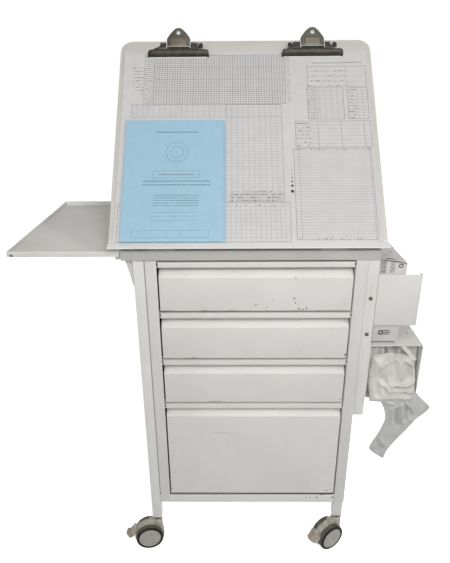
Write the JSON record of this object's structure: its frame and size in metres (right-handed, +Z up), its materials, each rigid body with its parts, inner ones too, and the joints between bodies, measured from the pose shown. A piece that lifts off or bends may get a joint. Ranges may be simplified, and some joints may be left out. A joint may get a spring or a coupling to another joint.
{
  "type": "chart table",
  "caption": "Drawer cabinet on swivel castors with a tilting chart board, a drop-leaf side tray and side holders",
  "frame": {"origin": "on the floor, under the middle of the whole table's bounding box", "axes": "+X to the table's right as seen from the front, +Y from the drawer fronts to the back, +Z up"},
  "size_m": [0.978, 0.4928, 1.3341],
  "materials": {
    "enamel": "smooth semi-gloss baked enamel",
    "drawer_enamel": "smooth semi-gloss baked enamel",
    "clip_metal": "dark bright plating",
    "zinc": "zinc plated",
    "castor_grey": "smooth moulded",
    "tyre_grey": "smooth non-marking tread",
    "paper": "matt printed paper",
    "file_card": "matt card",
    "carton": "coated carton",
    "film": "thin translucent film"
  },
  "bodies": {
    "cabinet": {"leg_front_left": "enamel", "leg_front_right": "enamel", "leg_rear_left": "enamel", "leg_rear_right": "enamel", "cabinet_base": "enamel", "side_panel_left": "enamel", "side_panel_right": "enamel", "back_panel": "enamel", "divider_rails": "enamel", "cabinet_runners": "zinc", "top_slab": "enamel", "corner_gussets": "enamel", "tray_hinge_leaves": "enamel", "tray_hinge_pins": "zinc", "board_hinge_leaves": "enamel", "board_hinge_pins": "zinc", "stay_track": "zinc", "side_channel": "enamel", "channel_screws": "zinc", "glove_holder": "enamel", "glove_box": "carton", "bag_dispenser": "enamel", "bag_film": "film", "castor_stems": "zinc"},
    "side_tray": {"side_tray": "enamel", "tray_hinge_knuckles": "enamel"},
    "board": {"chart_board": "enamel", "board_ledge": "enamel", "board_hinge_knuckles": "enamel", "stay_brackets": "zinc", "chart_sheets": "paper", "record_file": "file_card", "clip_bases": "clip_metal", "clip_springs": "clip_metal"},
    "clip_left": {"clip_left_lever": "clip_metal"},
    "clip_right": {"clip_right_lever": "clip_metal"},
    "stay": {"prop_stay": "zinc"},
    "drawer_1": {"drawer_1_front": "drawer_enamel", "drawer_1_box": "drawer_enamel"},
    "drawer_2": {"drawer_2_front": "drawer_enamel", "drawer_2_box": "drawer_enamel"},
    "drawer_3": {"drawer_3_front": "drawer_enamel", "drawer_3_box": "drawer_enamel"},
    "drawer_4": {"drawer_4_front": "drawer_enamel", "drawer_4_box": "drawer_enamel"},
    "castor_fl": {"castor_fl_hood": "castor_grey"},
    "wheels_fl": {"castor_fl_tyres": "tyre_grey", "castor_fl_discs": "castor_grey"},
    "pedal_fl": {"castor_fl_pedal": "castor_grey"},
    "castor_fr": {"castor_fr_hood": "castor_grey"},
    "wheels_fr": {"castor_fr_tyres": "tyre_grey", "castor_fr_discs": "castor_grey"},
    "pedal_fr": {"castor_fr_pedal": "castor_grey"},
    "castor_rl": {"castor_rl_hood": "castor_grey"},
    "wheels_rl": {"castor_rl_tyres": "tyre_grey", "castor_rl_discs": "castor_grey"},
    "castor_rr": {"castor_rr_hood": "castor_grey"},
    "wheels_rr": {"castor_rr_tyres": "tyre_grey", "castor_rr_discs": "castor_grey"}
  },
  "joints": [
    {"name": "board_tilt", "type": "hinge", "parent": "cabinet", "child": "board", "pos_m": [0.0405, -0.18556, 0.884], "axis": [1, 0, 0], "range_deg": [-51, 0]},
    {"name": "stay_fold", "type": "hinge", "parent": "board", "child": "stay", "pos_m": [0.0405, -0.07228, 1.02389], "axis": [1, 0, 0], "range_deg": [0, 102]},
    {"name": "tray_drop", "type": "hinge", "parent": "cabinet", "child": "side_tray", "pos_m": [-0.2485, 0.01894, 0.858], "axis": [0, -1, 0], "range_deg": [0, 90]},
    {"name": "clip_left_open", "type": "hinge", "parent": "board", "child": "clip_left", "pos_m": [-0.124, 0.12311, 1.28901], "axis": [-1, 0, 0], "range_deg": [0, 14], "stiffness_Nm_per_rad": 1, "springref_deg": -22.92},
    {"name": "clip_right_open", "type": "hinge", "parent": "board", "child": "clip_right", "pos_m": [0.205, 0.12311, 1.28901], "axis": [-1, 0, 0], "range_deg": [0, 14], "stiffness_Nm_per_rad": 1, "springref_deg": -22.92},
    {"name": "drawer_1_slide", "type": "slide", "parent": "cabinet", "child": "drawer_1", "axis": [0, -1, 0], "range_m": [0, 0.33]},
    {"name": "drawer_2_slide", "type": "slide", "parent": "cabinet", "child": "drawer_2", "axis": [0, -1, 0], "range_m": [0, 0.33]},
    {"name": "drawer_3_slide", "type": "slide", "parent": "cabinet", "child": "drawer_3", "axis": [0, -1, 0], "range_m": [0, 0.33]},
    {"name": "drawer_4_slide", "type": "slide", "parent": "cabinet", "child": "drawer_4", "axis": [0, -1, 0], "range_m": [0, 0.33]},
    {"name": "swivel_fl", "type": "hinge", "parent": "cabinet", "child": "castor_fl", "pos_m": [-0.2015, -0.19606, 0.0375], "axis": [0, 0, 1], "continuous": true},
    {"name": "roll_fl", "type": "hinge", "parent": "castor_fl", "child": "wheels_fl", "pos_m": [-0.22711, -0.20057, 0.0375], "axis": [0.1736, -0.9848, 0], "continuous": true},
    {"name": "brake_fl", "type": "hinge", "parent": "castor_fl", "child": "pedal_fl", "pos_m": [-0.26463, -0.20719, 0.0595], "axis": [0.1736, -0.9848, 0], "range_deg": [0, 15]},
    {"name": "swivel_fr", "type": "hinge", "parent": "cabinet", "child": "castor_fr", "pos_m": [0.2935, -0.18906, 0.0375], "axis": [0, 0, 1], "continuous": true},
    {"name": "roll_fr", "type": "hinge", "parent": "castor_fr", "child": "wheels_fr", "pos_m": [0.27098, -0.20206, 0.0375], "axis": [0.5, -0.866, 0], "continuous": true},
    {"name": "brake_fr", "type": "hinge", "parent": "castor_fr", "child": "pedal_fr", "pos_m": [0.23798, -0.22111, 0.0595], "axis": [0.5, -0.866, 0], "range_deg": [0, 15]},
    {"name": "swivel_rl", "type": "hinge", "parent": "cabinet", "child": "castor_rl", "pos_m": [-0.2015, 0.22394, 0.0375], "axis": [0, 0, 1], "continuous": true},
    {"name": "roll_rl", "type": "hinge", "parent": "castor_rl", "child": "wheels_rl", "pos_m": [-0.20602, 0.19834, 0.0375], "axis": [0.9848, -0.1736, 0], "continuous": true},
    {"name": "swivel_rr", "type": "hinge", "parent": "cabinet", "child": "castor_rr", "pos_m": [0.2935, 0.22394, 0.0375], "axis": [0, 0, 1], "continuous": true},
    {"name": "roll_rr", "type": "hinge", "parent": "castor_rr", "child": "wheels_rr", "pos_m": [0.30023, 0.19883, 0.0375], "axis": [0.9659, 0.2588, 0], "continuous": true}
  ],
  "couplings": [
    {"joint": "stay_fold", "follows": "board_tilt", "ratio": -2}
  ]
}
